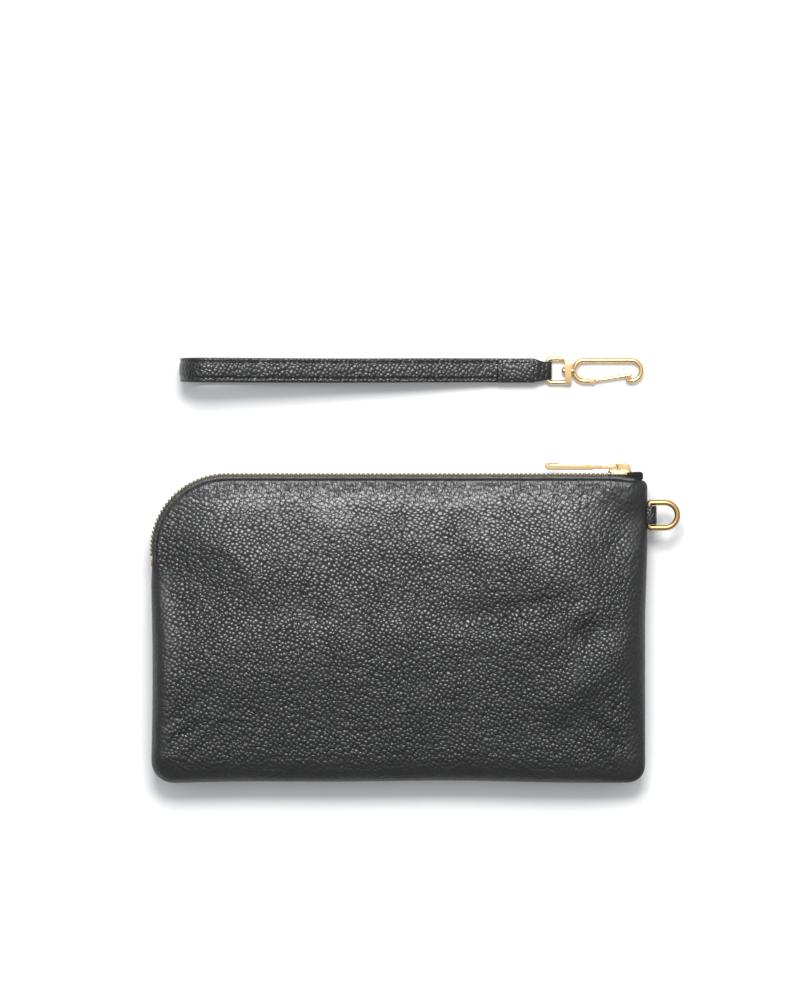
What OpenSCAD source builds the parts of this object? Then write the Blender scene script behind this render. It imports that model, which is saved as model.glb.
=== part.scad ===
// Zip-top leather makeup bag lying on its back, with its wrist strap laid beside it.
// X runs across the bag, Y towards the zip and Z up, out of the front panel.
// The origin is the middle of the flat back face. Millimetres.

/* [Bag] */
// Width across the side seams
bag_w = 241; // [220:1:260]
// Height from the bottom fold to the leather edge of the zip
bag_h = 149.4; // [140:0.2:160]
// Depth at the boxed bottom
bag_d = 34; // [32:0.5:38]
// Depth between the two leather edges at the zip
zip_gap = 14; // [13.6:0.1:15]
// Radius of the corner that the zip runs round
corner_r = 37; // [32:1:42]
// Thickness of the leather
leather_t = 1.3; // [1:0.1:1.4]
// Thickness of the lining cloth
lining_t = 0.4; // [0.3:0.05:0.5]
// How far the mouth flap lifts, in degrees
mouth_open = 45; // [20:1:50]

/* [Zip] */
// Spacing of the teeth along one tape
tooth_pitch = 2.2; // [2:0.1:2.6]
// Length of a tooth across the zip
tooth_l = 2.9; // [2.4:0.1:3]
// Thickness of a tooth, through the tape
tooth_t = 3; // [2.6:0.1:3]
// Thickness of the tape
tape_t = 0.5; // [0.4:0.1:0.6]
// Length of the slider
slider_l = 11.7; // [10:0.1:13]
// Width of the slider
slider_w = 9.4; // [9:0.1:9.4]
// Length of the pull from the middle of its eye bar to its curled end
pull_l = 34; // [25:0.5:45]

/* [D-ring] */
// Wire diameter of the D-ring
d_wire = 2.4; // [2:0.1:2.6]
// Width of the D-ring, outside
d_w = 14.9; // [14.4:0.1:18]
// Width of the leather tab that holds the D-ring
tab_w = 8.7; // [7:0.1:9]

/* [Wrist strap] */
// Width of the strap
strap_w = 11.7; // [10:0.1:13]
// Thickness of one of the two leather layers of the strap
layer_t = 1.2; // [0.9:0.1:1.3]
// Radius of the loop's free end, at the middle of the strap's thickness
loop_r = 12; // [9:0.5:14]
// Distance from the bag's middle to the strap's centreline
strap_y = 125.9; // [110:0.1:150]

/* [Snap hook] */
// Wire diameter of the hook
hook_wire = 2; // [1.8:0.1:2.2]
// Length of the hook, outside
hook_l = 35.4; // [32:0.1:45]
// Width of the hook, outside
hook_w = 12.7; // [12:0.1:15]

/* [Hidden] */
$fn = 32;

leather = "#2b2c30";
lining_cloth = "#3c3a3c";
tape_cloth = "#1d1d20";
tooth_metal = "#6f6545";
gold = "#d8b26a";
thread_black = "#121214";

gap = 0.3;                       // clearance between pieces that move apart
ply = 0.15;                      // gap between two cloth or leather plies
big = 400;                       // larger than the whole object

// The bag's outline, seen from the front
half_w = bag_w / 2;
top_y = bag_h / 2 - 0.9;         // leather edge at the zip
bottom_y = top_y - bag_h;
lip = 1.6;                       // how far the teeth stand out past the leather edge
zip_y = top_y + lip;             // tips of the teeth
corner = [-half_w + corner_r - 0.3, zip_y - corner_r];  // centre of the zip's corner
zip_foot = 4.6;                  // straight teeth below the corner
zip_right = 112;                 // where the leather edge leaves the zip
right_corner_r = 5;
bottom_corner_r = [11, 8];       // left and right
seam_z = 16;                     // height of the side and bottom seam
zip_z = 15;                      // height of the zip's centre
front_lip_z = zip_z + zip_gap / 2;
back_lip_z = zip_z - zip_gap / 2;
roll = 12;                       // width of the rounded edge at the seams
zip_bend = 24;                   // how far the back curves up towards the zip

function arc(c, r, from, to, steps) =
    [for (k = [0 : steps]) let (a = from + (to - from) * k / steps) c + r * [cos(a), sin(a)]];
function between(a, b, steps) = [for (k = [1 : steps - 1]) a + (b - a) * k / steps];
function ramp(v, lo, hi) = let (t = max(0, min(1, (v - lo) / (hi - lo)))) t * t * (3 - 2 * t);
function mix(a, b, t) = a + (b - a) * t;
function backwards(list) = [for (k = [len(list) - 1 : -1 : 0]) list[k]];

// Leather outline, anticlockwise from the right end of the zip
outline = let (
        tr = [half_w - right_corner_r, top_y - 2 - right_corner_r],
        bl = [-half_w + bottom_corner_r[0], bottom_y + bottom_corner_r[0]],
        br = [half_w - bottom_corner_r[1], bottom_y + bottom_corner_r[1]],
        zip_start = [zip_right - 6, top_y],
        side_left = [-half_w, corner[1] - zip_foot - 12]
    ) concat(
        arc(tr, right_corner_r, 0, 90, 2),
        between(tr + [0, right_corner_r], zip_start, 3),
        [zip_start],
        between(zip_start, [corner[0], top_y], 5),
        arc(corner, corner_r - lip, 90, 180, 8),
        [[corner[0] - corner_r + lip, corner[1] - zip_foot], [-half_w + 0.4, corner[1] - zip_foot - 6], side_left],
        between(side_left, [bl[0] - bottom_corner_r[0], bl[1]], 3),
        arc(bl, bottom_corner_r[0], 180, 270, 3),
        between([bl[0], bottom_y], [br[0], bottom_y], 5),
        arc(br, bottom_corner_r[1], 270, 360, 3),
        between([half_w, br[1]], [half_w, tr[1]], 4)
    );
corners = len(outline);

// 1 where the leather edge carries the zip, 0 along the seams
function zip_share(p) =
    ramp(p[1], corner[1] - zip_foot - 8, corner[1] - zip_foot)
    * ramp(-p[0], -zip_right - 7.5, -zip_right - 3.5);

// Distance in plan from the leather edge of the zip
function from_zip(p) = let (
        straight = norm([max(0, corner[0] - p[0], p[0] - zip_right), top_y - p[1]]),
        v = p - corner,
        bend = v[0] < 0 && v[1] > 0 ? abs(corner_r - lip - norm(v)) : big,
        foot = norm([p[0] - corner[0] + corner_r - lip, max(0, corner[1] - zip_foot - p[1], p[1] - corner[1])])
    ) min(straight, bend, foot);

// Height of the front and of the back leather above a place
front_rise = bag_d - front_lip_z;
function front_top(d) = front_lip_z + front_rise * (1 - exp(-pow(d / 26, 1.3)));
function back_under(d) = back_lip_z * pow(max(0, 1 - d / zip_bend), 2);

// Rings from the edge to the middle: [inset, angle of the rounded edge]
rings = concat(
    [for (a = [0, 25, 50, 75]) [roll * (1 - cos(a)), a]],
    [for (s = [roll, 24, 42]) [s, 90]]
);

// One point of a ply that lies depth under the outer leather surface
function ply_point(p, inset, a, depth, front) = let (
        z_share = zip_share(p),
        s = inset + depth * cos(a) * (1 - z_share),
        q = [p[0] * (1 - s / half_w), p[1] * (1 - s / top_y)],
        d = from_zip(q),
        down = depth * mix(sin(a), 1, z_share),
        crest = front ? front_top(d) : back_under(d),
        edge = front ? seam_z + ply / 2 : seam_z - ply / 2,
        z = mix(edge + (crest - edge) * sin(a), crest, z_share)
    ) [q[0], q[1], front ? z - down : z + down];

// A closed shell between two depths, drawn in from the zip by zip_inset
module ply_shell(depth, t, front, zip_inset = 0) {
    last = len(rings) - 1;
    function skin(k, dep) = [for (p = outline) let (s = rings[k][0])
        ply_point(p, s + zip_inset * zip_share(p) * (1 - s / rings[last][0]), rings[k][1], dep, front)];
    middle_d = from_zip([0, 0]);
    middle = front ? front_top(middle_d) : back_under(middle_d);
    turn = front ? -1 : 1;
    points = concat(
        [for (k = [0 : last]) each skin(k, depth)],
        [for (k = [0 : last]) each skin(k, depth + t)],
        [[0, 0, middle + turn * depth], [0, 0, middle + turn * (depth + t)]]
    );
    n = corners;
    inner = (last + 1) * n;
    function band(base, flip) = [for (k = [0 : last - 1], i = [0 : n - 1]) let (
            j = (i + 1) % n,
            a = base + k * n + i, b = base + k * n + j,
            c = base + (k + 1) * n + j, e = base + (k + 1) * n + i
        ) each flip ? [[a, b, c], [a, c, e]] : [[c, b, a], [e, c, a]]];
    function fan(base, tip, flip) = [for (i = [0 : n - 1]) let (
            a = base + last * n + i, b = base + last * n + (i + 1) % n
        ) flip ? [a, b, tip] : [b, a, tip]];
    rim = [for (i = [0 : n - 1]) let (j = (i + 1) % n)
        each front ? [[i, j, inner + j], [i, inner + j, inner + i]] : [[inner + j, j, i], [inner + i, inner + j, i]]];
    polyhedron(points, concat(
        band(0, !front), fan(0, len(points) - 2, !front),
        band(inner, front), fan(inner, len(points) - 1, front), rim
    ), convexity = 6);
}

// The fold that the mouth flap turns about, as a line in plan
fold_left = [-half_w - 0.3, corner[1] - zip_foot - 4];
fold_right = [99, 71];
fold_z = front_lip_z;
fold_angle = atan2(fold_right[1] - fold_left[1], fold_right[0] - fold_left[0]);
fold_l = norm(fold_right - fold_left);

// Wedge left free for the flap to turn in, pointed at the fold line
module fold_clearance() {
    reach = 14;
    open = reach * tan(mouth_open / 2) + gap;
    translate([fold_left[0], fold_left[1], fold_z]) rotate([90, 0, 90 + fold_angle])
        translate([0, 0, -20]) linear_extrude(fold_l + 20)
            polygon([[-gap / 2, -20], [gap / 2, -20], [gap / 2, 0], [open, reach], [-open, reach], [-gap / 2, 0]]);
}

// Everything on the zip's side of the fold line, left of the slider
module flap_region() {
    translate([fold_left[0], fold_left[1], zip_z + 0.2]) rotate([0, 0, fold_angle])
        translate([-20, 0, 0]) cube([fold_l + 20, 60, 30]);
}
module flap_limit(x) translate([-big, -big, -1]) cube([big + x, 2 * big, 60]);

module flap_part() {
    difference() {
        intersection() {
            children();
            flap_region();
            flap_limit(fold_right[0]);
        }
        fold_clearance();
    }
}
module fixed_part() {
    difference() {
        children();
        intersection() {
            flap_region();
            flap_limit(fold_right[0] + 2 * gap);
        }
        fold_clearance();
    }
}

// Slot in the side seam that the D-ring's tab is sewn through
ring_y = 55.1;
ring_x = half_w + 2.2;
tab_t = 1.2;
module tab_slot() {
    translate([half_w - 6, ring_y - tab_w / 2 - ply, seam_z - tab_t - ply])
        cube([12, tab_w + 2 * ply, 2 * (tab_t + ply)]);
}

module back_panel() color(leather) difference() {
    ply_shell(0, leather_t, false);
    tab_slot();
}
module front_panel() color(leather) difference() {
    fixed_part() ply_shell(0, leather_t, true);
    tab_slot();
}
module mouth_flap() color(leather) flap_part() ply_shell(0, leather_t, true);

// The lining hangs behind the leather and is sewn to the inner edge of the tapes
lining_depth = leather_t + 2 * ply + tape_t;
lining_inset = 4;
module back_lining() color(lining_cloth) ply_shell(lining_depth, lining_t, false, lining_inset);
module front_lining() color(lining_cloth) fixed_part() ply_shell(lining_depth, lining_t, true, lining_inset);
module flap_lining() color(lining_cloth) flap_part() ply_shell(lining_depth, lining_t, true, lining_inset);

// Places along the zip, from its right end: [x, y, heading]
run = zip_right - corner[0];
function zip_at(s, inset) = let (r = corner_r - inset)
    s <= run ? [zip_right - s, zip_y - inset, 180]
    : s <= run + corner_r * PI / 2 ? let (a = (s - run) / corner_r * 180 / PI)
        [corner[0] - r * sin(a), corner[1] + r * cos(a), 180 + a]
    : [corner[0] - r, corner[1] - (s - run - corner_r * PI / 2), 270];
zip_length = run + corner_r * PI / 2 + zip_foot;

// Tape: a strip that stands behind the teeth, then lies under the leather edge
tape_in = lip - 0.35;
hem = 9;
module tape(front) {
    stations = concat([0, 3, run * 0.3, run * 0.7], [for (k = [0 : 8]) run + corner_r * PI / 2 * k / 8], [zip_length]);
    turn = front ? 1 : -1;
    function leather_z(inset) = front ? front_top(max(0, inset - lip)) : back_under(max(0, inset - lip));
    function under(inset, drop) = leather_z(inset) - turn * (leather_t + ply + drop);
    root_z = zip_z + turn * 1.4;
    // The hem narrows beside the closed corner
    function steps(s) = [for (k = [1 : 3]) tape_in + hem * k / 3 * (s < hem ? 0.5 : 1)];
    function section(s) = concat(
        [[tape_in, root_z], [tape_in, under(tape_in, 0)], [lip, under(lip, 0)]],
        [for (e = steps(s)) [e, under(e, 0)]],
        [for (e = backwards(steps(s))) [e, under(e, tape_t)]],
        [[tape_in + tape_t, under(tape_in + tape_t, tape_t)], [tape_in + tape_t, root_z]]
    );
    m = len(section(0));
    n = len(stations);
    points = [for (s = stations, q = section(s)) let (p = zip_at(s, q[0])) [p[0], p[1], q[1]]];
    function order(face) = front ? backwards(face) : face;
    sides = [for (k = [0 : n - 2], i = [0 : m - 1]) let (j = (i + 1) % m)
        each [order([k * m + i, (k + 1) * m + i, (k + 1) * m + j]), order([k * m + i, (k + 1) * m + j, k * m + j])]];
    polyhedron(points, concat(sides,
        [order([for (i = [0 : m - 1]) i])],
        [order([for (i = [m - 1 : -1 : 0]) (n - 1) * m + i])]), convexity = 6);
}
module back_tape() color(tape_cloth) tape(false);
module front_tape_end() color(tape_cloth) fixed_part() tape(true);
module flap_tape() color(tape_cloth) flap_part() tape(true);

// Teeth: blocks clamped on the edge of each tape, with a channel between the two rows
row_gap = 1;
first_tooth = 1.2;
tooth_w = tooth_pitch / 2;
flap_tooth = ceil((zip_right - first_tooth - (fold_right[0] - tooth_w / 2 - gap)) / tooth_pitch);
last_tooth = floor((zip_length - first_tooth - tooth_w / 2) / tooth_pitch);
module teeth(from, to, front) {
    z0 = front ? zip_z + row_gap / 2 : zip_z - row_gap / 2 - tooth_l;
    shift = front ? 0 : tooth_pitch / 2;
    for (k = [from : to]) {
        p = zip_at(first_tooth + shift + k * tooth_pitch, tooth_t / 2);
        translate([p[0], p[1], z0]) rotate([0, 0, p[2]]) translate([-tooth_w / 2, -tooth_t / 2, 0])
            cube([tooth_w, tooth_t, tooth_l]);
    }
}
module back_teeth() color(tooth_metal) teeth(0, last_tooth - 1, false);
module front_teeth_end() color(tooth_metal) teeth(0, flap_tooth - 2, true);
module flap_teeth() color(tooth_metal) teeth(flap_tooth, last_tooth, true);

// Stitches along the leather edge of the zip
stitch_l = 1.9;
stitch_t = 0.5;
stitch_pitch = 2.65;
stitch_in = 1.7;
module zip_stitches(from, to, front) {
    z = front ? front_top(stitch_in) - 0.25 : back_under(stitch_in) - 0.15;
    for (s = [from : stitch_pitch : to]) {
        p = zip_at(s, lip + stitch_in);
        translate([p[0], p[1], z]) rotate([0, 0, p[2]]) translate([-stitch_l / 2, -stitch_t / 2, 0])
            cube([stitch_l, stitch_t, stitch_t]);
    }
}
module back_stitching() color(thread_black) zip_stitches(2, zip_length - 3, false);
module flap_stitching() color(thread_black) zip_stitches(zip_right - fold_right[0] + 9, zip_length - 3, true);

// Stops: metal staples clamped on the tape beyond the last teeth
stop_l = 2.4;
module stop_block(x, z) translate([x, zip_y - tooth_t, z]) cube([stop_l, tooth_t, tooth_l]);
module top_stops() color(gold) {
    stop_block(zip_right - 0.4, zip_z + row_gap / 2);
    stop_block(zip_right - 0.4, zip_z - row_gap / 2 - tooth_l);
}
bottom_stop_l = 3.4;
module bottom_stop() color(gold)
    translate([corner[0] - corner_r + 0.2, corner[1] - zip_foot - bottom_stop_l - gap, zip_z - 2.4])
        cube([tooth_t - 0.4, bottom_stop_l, 4.8]);

// Ends of both tapes, folded over together at the closed corner
end_tab_l = 4.2;
end_tab_h = 11;
module zip_end_tab() color(tape_cloth)
    translate([zip_right + 3.4, zip_y - 3, zip_z - end_tab_h / 2]) {
        cube([end_tab_l - 1.6, 3.4, end_tab_h]);
        translate([end_tab_l - 1.7, 1.7, 0]) cylinder(r = 1.7, h = end_tab_h);
    }

// Slider: two plates joined by a web that runs between the rows of teeth
slider_x = 102.5;
plate_t = 1.2;
outer_plate_y = zip_y + gap;
inner_plate_y = zip_y - tooth_t - gap - plate_t;
web_t = 0.4;
lip_w = 0.9;
lip_l = 1;
module zip_slider() color(gold) translate([slider_x, 0, zip_z]) {
    for (y = [outer_plate_y, inner_plate_y])
        translate([0, y, -slider_w / 2]) cube([slider_l, plate_t, slider_w]);
    for (side = [-1, 1]) {
        z = side > 0 ? slider_w / 2 - lip_w : -slider_w / 2;
        translate([0, outer_plate_y - lip_l, z]) cube([slider_l, lip_l, lip_w]);
        translate([0, inner_plate_y + plate_t, z]) cube([slider_l, lip_l, lip_w]);
    }
    translate([slider_l - 5, inner_plate_y, -web_t / 2]) cube([4, outer_plate_y - inner_plate_y + 0.5, web_t]);
}

// Bridge: the arch over the slider that the pull hangs on
bridge_w = 3.4;
bridge_h = 4.2;
bridge_t = 1.2;
function arch(l, h, r) = concat([[0, 0]], arc([r, h - r], r, 180, 90, 6), arc([l - r, h - r], r, 90, 0, 6), [[l, 0]]);
module slider_bridge() color(gold)
    translate([slider_x + 0.5, outer_plate_y + plate_t, zip_z - bridge_w / 2]) linear_extrude(bridge_w) difference() {
        polygon(arch(slider_l - 1, bridge_h, 2.8));
        translate([bridge_t, -1]) polygon(arch(slider_l - 1 - 2 * bridge_t, bridge_h - bridge_t + 1, 1.6));
    }

// Pull: a slim plate with an eye at one end and a curled lip at the other
pull_x = slider_x + 3.2;
pull_y = outer_plate_y + plate_t + 1.6;
pull_w = 6.4;
eye_w = bridge_w + 0.8;
eye_l = 6;
pull_t = 1.4;
module zip_pull() color(gold) translate([pull_x, pull_y, zip_z - pull_w / 2]) {
    cylinder(r = pull_t / 2, h = pull_w);
    difference() {
        translate([-pull_l, -pull_t / 2, 0]) cube([pull_l, pull_t, pull_w]);
        translate([-eye_l - pull_t / 2, -pull_t, (pull_w - eye_w) / 2]) cube([eye_l, 2 * pull_t, eye_w]);
    }
    translate([-pull_l, 1, 0]) difference() {
        cylinder(r = 1 + pull_t / 2, h = pull_w);
        translate([0, 0, -1]) cylinder(r = 0.6, h = pull_w + 2);
        translate([0, -3, -1]) cube([5, 6, pull_w + 2]);
    }
    translate([-pull_l, 1.6, 0]) cube([5, 1.1, pull_w]);
}

// D-ring and its tab
ring_bore = 0.07;
ring_reach = 15.2;
module d_ring_tab() color(leather) difference() {
    union() {
        translate([ring_x, ring_y + tab_w / 2, seam_z]) rotate([90, 0, 0])
            cylinder(r = d_wire / 2 + ring_bore + tab_t, h = tab_w);
        translate([half_w - 1.8, ring_y - tab_w / 2, seam_z - tab_t])
            cube([ring_x - half_w + 1.8, tab_w, 2 * tab_t]);
    }
    translate([ring_x, ring_y + tab_w, seam_z]) rotate([90, 0, 0])
        cylinder(r = d_wire / 2 + ring_bore, h = 2 * tab_w);
}
module d_ring() color(gold) translate([ring_x, ring_y, seam_z]) {
    r = d_wire / 2;
    bow = d_w / 2 - r;
    leg = ring_reach - r - bow;
    translate([0, bow, 0]) rotate([90, 0, 0]) cylinder(r = r, h = 2 * bow);
    for (side = [-1, 1]) translate([0, side * bow, 0]) {
        sphere(r = r);
        rotate([0, 90, 0]) cylinder(r = r, h = leg);
    }
    translate([leg, 0, 0]) rotate([0, 0, -90]) rotate_extrude(angle = 180) translate([bow, 0]) circle(r = r);
}

// Strap loop: one band folded into a drop shape that lies on its side
loop_x = -93.7;                  // centre of the free end
strap_end = 67;                  // where both ends stop inside the connector
grip_start = 48.6;               // where the connector begins
lower_z = 2.2;                   // middle of the lower end inside the connector
upper_z = lower_z + 2 * layer_t + 0.1;
loop_c = [loop_x, loop_r + layer_t];
leave = [grip_start - 0.5, upper_z];
rise = atan2(loop_c[1] - leave[1], leave[0] - loop_c[0]) + asin(loop_r / norm(leave - loop_c));
band_route = concat(
    [[strap_end, upper_z], leave],
    arc(loop_c, loop_r, 90 - rise, 270, 16),
    [[grip_start - 22, layer_t], [grip_start - 2, lower_z], [strap_end, lower_z]]
);
function heading(route, i) = let (
        a = route[max(0, i - 1)], b = route[i], c = route[min(len(route) - 1, i + 1)],
        u = b == a ? (c - b) / norm(c - b) : (b - a) / norm(b - a),
        v = c == b ? u : (c - b) / norm(c - b),
        m = (u + v) / norm(u + v)
    ) [-m[1], m[0]] / (m * u);
function beside(route, d) = [for (i = [0 : len(route) - 1]) route[i] + d * heading(route, i)];
module strap_layer(a, b)
    translate([0, strap_y + strap_w / 2, 0]) rotate([90, 0, 0]) linear_extrude(strap_w)
        polygon(concat(beside(band_route, a), backwards(beside(band_route, b))));
module strap_outer() color(leather) strap_layer(0, -layer_t);
module strap_inner() color(leather) strap_layer(layer_t, 0);

// Stitches along both edges of the upper run
strap_edge = 1.2;
module strap_stitching() color(thread_black) {
    from = loop_c + loop_r * [cos(90 - rise), sin(90 - rise)];
    length = norm(leave - from);
    for (side = [-1, 1], k = [0 : floor((length - 6) / stitch_pitch)])
        translate([from[0], strap_y + side * (strap_w / 2 - strap_edge), from[1]]) rotate([0, rise, 0])
            translate([2 + k * stitch_pitch, -stitch_t / 2, layer_t - 0.2]) cube([stitch_l, stitch_t, stitch_t]);
}

// Connector: leather wrapped round the strap's ends and the bail's bar
axis_z = 2.6;                    // height of the bail's bar and of the hook's axis
bail_x = 73.2;
bail_wire = 2.2;
pin_play = 0.07;
wrap_t = 1;
connector_h = 6.9;
module connector_profile() difference() {
    polygon(concat(
        [[grip_start, 0], [bail_x - 2, 0.4]],
        arc([bail_x, axis_z], bail_wire / 2 + pin_play + wrap_t, -80, 70, 8),
        [[strap_end + 1.4, connector_h], [grip_start, connector_h]]
    ));
    translate([grip_start - 1, lower_z - layer_t - 0.05])
        square([strap_end - grip_start + 1.1, upper_z - lower_z + 2 * layer_t + 0.1]);
}
module strap_connector() color(leather) difference() {
    intersection() {
        translate([0, strap_y + strap_w / 2, 0]) rotate([90, 0, 0]) linear_extrude(strap_w) connector_profile();
        translate([0, strap_y, -1]) linear_extrude(connector_h + 2) polygon([
            [grip_start - 1, -strap_w / 2], [strap_end, -strap_w / 2], [bail_x - 2, -4.2], [bail_x + 4, -4],
            [bail_x + 4, 4], [bail_x - 2, 4.2], [strap_end, strap_w / 2], [grip_start - 1, strap_w / 2]
        ]);
    }
    translate([bail_x, strap_y + strap_w, axis_z]) rotate([90, 0, 0])
        cylinder(r = bail_wire / 2 + pin_play, h = 2 * strap_w);
}

// Bail: a squared ring, its round bar in the connector and its flat bar drilled for the post
bail_w = 13.7;
bail_bar_x = 81.7;
bail_bar_t = 3.2;
post_r = 1.05;
module swivel_bail() color(gold) translate([0, strap_y, axis_z]) {
    r = bail_wire / 2;
    arm_y = bail_w / 2 - r;
    translate([bail_x, arm_y, 0]) rotate([90, 0, 0]) cylinder(r = r, h = 2 * arm_y);
    for (side = [-1, 1]) translate([bail_x, side * arm_y, 0]) {
        sphere(r = r);
        rotate([0, 90, 0]) cylinder(r = r, h = bail_bar_x - bail_x + 1);
    }
    difference() {
        translate([bail_bar_x, -bail_w / 2, -1.5]) cube([bail_bar_t, bail_w, 3]);
        translate([bail_bar_x - 1, 0, 0]) rotate([0, 90, 0]) cylinder(r = post_r + pin_play, h = bail_bar_t + 2);
    }
}

// Post: a headed rivet through the bail's flat bar, fixed in the hook
hook_x = bail_bar_x + bail_bar_t + 0.15;
post_head_t = 1.4;
module swivel_post() color(gold) translate([bail_bar_x - 0.15, strap_y, axis_z]) rotate([0, 90, 0]) {
    translate([0, 0, -post_head_t]) cylinder(r = 1.9, h = post_head_t);
    cylinder(r = post_r, h = bail_bar_t + 0.3);
}

// Hook: a long oval of wire, open where the gate closes it
hook_r = hook_wire / 2;
bow_r = hook_w / 2 - hook_r;
bow_left = hook_x + 1.2 + bow_r;
bow_right = hook_x + hook_l - hook_r - bow_r;
gate_x = bow_left + 4;
cheek_r = 1.3;
cheek_h = 2.6;
knuckle_h = 1.3;
gate_pin_r = 0.4;
module hook_bend(x, from, turn) translate([x, 0, 0]) rotate([0, 0, from])
    rotate_extrude(angle = turn) translate([bow_r, 0]) circle(r = hook_r);
module snap_hook() color(gold) translate([0, strap_y, axis_z]) {
    translate([hook_x, 0, 0]) rotate([0, 90, 0]) cylinder(r = 2, h = 1.9);
    hook_bend(bow_left, 90, 180);
    hook_bend(bow_right, -90, 180);
    translate([bow_left, bow_r, 0]) rotate([0, 90, 0]) cylinder(r = hook_r, h = bow_right - bow_left);
    translate([bow_right - 2, -bow_r, 0]) rotate([0, 90, 0]) cylinder(r = hook_r, h = 2);
    difference() {
        union() {
            translate([bow_left, -bow_r, 0]) rotate([0, 90, 0]) cylinder(r = hook_r, h = gate_x - bow_left);
            translate([gate_x, -bow_r, -cheek_h / 2]) cylinder(r = cheek_r, h = cheek_h);
        }
        translate([gate_x, -bow_r, -knuckle_h / 2]) cylinder(r = cheek_r + 0.35, h = knuckle_h);
        translate([gate_x, -bow_r, -cheek_h]) cylinder(r = gate_pin_r, h = 2 * cheek_h);
    }
}

// Gate: a round bar on a knuckle, closed against the inside of the nose
gate_r = 0.8;
gate_tip = [bow_right - 0.5, -2.3];
gate_knuckle_h = 0.7;
module hook_gate() color(gold) translate([gate_x, strap_y - bow_r, axis_z]) difference() {
    v = gate_tip - [gate_x, -bow_r];
    union() {
        translate([0, 0, -gate_knuckle_h / 2]) cylinder(r = 1.15, h = gate_knuckle_h);
        rotate([0, 0, atan2(v[1], v[0])]) {
            translate([0.8, -0.5, -gate_knuckle_h / 2]) cube([2, 1, gate_knuckle_h]);
            translate([2, 0, 0]) rotate([0, 90, 0]) cylinder(r = gate_r, h = norm(v) - 2);
            translate([norm(v), 0, 0]) sphere(r = gate_r);
        }
    }
    translate([0, 0, -2]) cylinder(r = gate_pin_r + 0.05, h = 4);
}
module gate_pin() color(gold) translate([gate_x, strap_y - bow_r, axis_z - cheek_h / 2])
    cylinder(r = gate_pin_r, h = cheek_h);

// Spring: a turn of wire round the pin on each side of the knuckle
spring_wire = 0.1;
module gate_spring() color(gold) for (side = [-1, 1])
    translate([gate_x, strap_y - bow_r, axis_z + side * 0.5]) rotate_extrude()
        translate([gate_pin_r + spring_wire + 0.06, 0]) circle(r = spring_wire);

back_panel();
front_panel();
mouth_flap();
back_lining();
front_lining();
flap_lining();
back_tape();
front_tape_end();
flap_tape();
back_teeth();
front_teeth_end();
flap_teeth();
back_stitching();
flap_stitching();
top_stops();
bottom_stop();
zip_end_tab();
zip_slider();
slider_bridge();
zip_pull();
d_ring_tab();
d_ring();
strap_outer();
strap_inner();
strap_connector();
strap_stitching();
swivel_bail();
swivel_post();
snap_hook();
hook_gate();
gate_pin();
gate_spring();
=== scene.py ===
"""Visual model of the leather makeup bag and its wrist strap, in the CAD's own frame."""

import math

import bmesh
import bpy
import numpy as np
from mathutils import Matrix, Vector


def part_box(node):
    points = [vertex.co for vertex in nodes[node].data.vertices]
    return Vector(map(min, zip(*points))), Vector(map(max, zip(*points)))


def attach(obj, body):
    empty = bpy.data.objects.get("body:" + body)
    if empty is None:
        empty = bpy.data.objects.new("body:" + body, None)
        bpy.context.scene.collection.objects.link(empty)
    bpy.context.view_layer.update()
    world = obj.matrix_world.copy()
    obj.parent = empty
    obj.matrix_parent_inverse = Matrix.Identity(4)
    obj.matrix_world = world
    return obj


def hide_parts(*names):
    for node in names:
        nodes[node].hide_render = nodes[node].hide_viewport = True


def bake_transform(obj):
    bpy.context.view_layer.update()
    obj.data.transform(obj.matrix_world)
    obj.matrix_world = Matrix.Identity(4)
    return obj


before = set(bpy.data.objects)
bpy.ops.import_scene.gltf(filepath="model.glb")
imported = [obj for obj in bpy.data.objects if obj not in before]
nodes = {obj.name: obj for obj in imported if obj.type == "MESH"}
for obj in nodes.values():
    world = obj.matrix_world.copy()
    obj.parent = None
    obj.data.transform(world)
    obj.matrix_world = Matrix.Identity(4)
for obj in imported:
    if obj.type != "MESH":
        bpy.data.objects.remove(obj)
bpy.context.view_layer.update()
MM = 0.001  # every size below is in millimetres


def add_object(name, data):
    made = bpy.data.objects.new(name, data)
    bpy.context.scene.collection.objects.link(made)
    return made


# ------------------------------------ camera
FRAME_H = 488.0  # height of the picture at the height of the bag
LENS = 280.0
SENSOR = 36.0
LOOK_AT = (1.0, 62.5, 18.0)
camera_data = bpy.data.cameras.new("camera")
camera_data.lens = LENS
camera_data.sensor_width = SENSOR
camera_data.clip_end = 50
camera = add_object("camera", camera_data)
camera.location = (LOOK_AT[0] * MM, LOOK_AT[1] * MM, (LOOK_AT[2] + FRAME_H * LENS / SENSOR) * MM)
bpy.context.scene.camera = camera
bpy.context.scene.view_settings.view_transform = "Standard"


# ------------------------------------ small helpers
def ramp(v, lo, hi):
    t = np.clip((v - lo) / (hi - lo), 0, 1)
    return t * t * (3 - 2 * t)


def mix(a, b, t):
    return a + (b - a) * t


def arc(c, r, start, stop, n):
    a = np.radians(np.linspace(start, stop, n))
    return np.stack([c[0] + r * np.cos(a), c[1] + r * np.sin(a)], 1)


def unit(v):
    return v / np.linalg.norm(v, axis=-1, keepdims=True)


def tangents(p, closed=False):
    d = np.roll(p, -1, 0) - np.roll(p, 1, 0) if closed else np.gradient(p, axis=0)
    return unit(d)


def resample(p, step, closed=False):
    p = np.array(p, float)
    q = np.vstack([p, p[:1]]) if closed else p
    run = np.concatenate([[0], np.cumsum(np.linalg.norm(np.diff(q, axis=0), axis=1))])
    n = max(2, int(round(run[-1] / step)))
    at = np.linspace(0, run[-1], n + 1)
    at = at[:-1] if closed else at
    return np.stack([np.interp(at, run, q[:, k]) for k in range(q.shape[1])], 1)


WAVES = 14


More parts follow.
